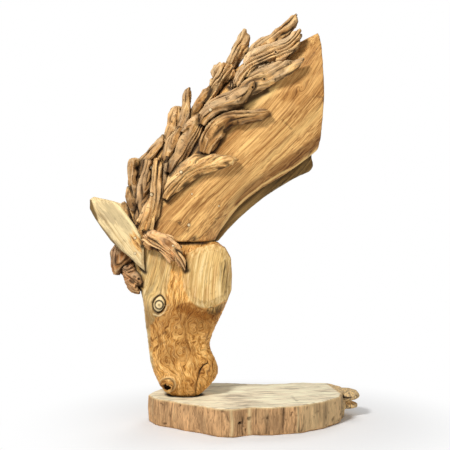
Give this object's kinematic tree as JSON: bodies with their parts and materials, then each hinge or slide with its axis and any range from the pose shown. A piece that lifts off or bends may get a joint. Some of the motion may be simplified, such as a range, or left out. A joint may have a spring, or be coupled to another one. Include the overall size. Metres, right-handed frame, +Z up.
{
  "type": "driftwood horse head sculpture",
  "caption": "Grazing horse's head and arched neck in carved teak root, with plank ears and a mane of driftwood strips, standing by its muzzle on a live-edge slab of trunk.",
  "frame": {"origin": "middle of the slab's underside, where the sculpture rests", "axes": "+Z up, -Y is the side that faces the viewer, +X runs from the horse's forehead towards the sawn end of the neck"},
  "size_m": [1.0233, 0.516, 1.5557],
  "materials": {
    "slab_wood": "sawn pale trunk slice with a brown fluted live edge",
    "teak_heartwood": "sanded golden-brown teak root with a light oil sheen",
    "teak_sapwood": "sanded pale sapwood",
    "weathered_root": "weathered, ridged and pitted driftwood"
  },
  "bodies": {
    "root": {"slab": "slab_wood", "head": "teak_heartwood", "neck_near_half": "teak_heartwood", "neck_far_half": "teak_heartwood", "ear_near": "teak_sapwood", "ear_far": "teak_sapwood", "brow_strip_near": "weathered_root", "brow_strip_far": "weathered_root", "forelock_upper": "weathered_root", "forelock_lower": "weathered_root", "lower_leaf": "weathered_root", "long_curve": "weathered_root", "gold_leaf": "weathered_root", "bent_root": "weathered_root", "grey_wedge": "weathered_root", "poll_strip": "weathered_root", "thin_strip": "weathered_root", "cross_strip": "weathered_root", "gnarled_root": "weathered_root", "grey_strip": "weathered_root", "knuckle": "weathered_root", "straight_plank": "weathered_root", "spike": "weathered_root", "low_strip": "weathered_root", "left_lump": "weathered_root", "wedge": "weathered_root", "upright": "weathered_root", "blade": "weathered_root", "top_blade": "weathered_root", "small_chip": "weathered_root", "far_poll_strip": "weathered_root", "far_lower_leaf": "weathered_root", "far_long_curve": "weathered_root", "far_leaf": "weathered_root", "far_bent_root": "weathered_root", "far_wedge": "weathered_root", "far_root": "weathered_root", "far_low_strip": "weathered_root", "far_plank": "weathered_root"}
  },
  "joints": []
}
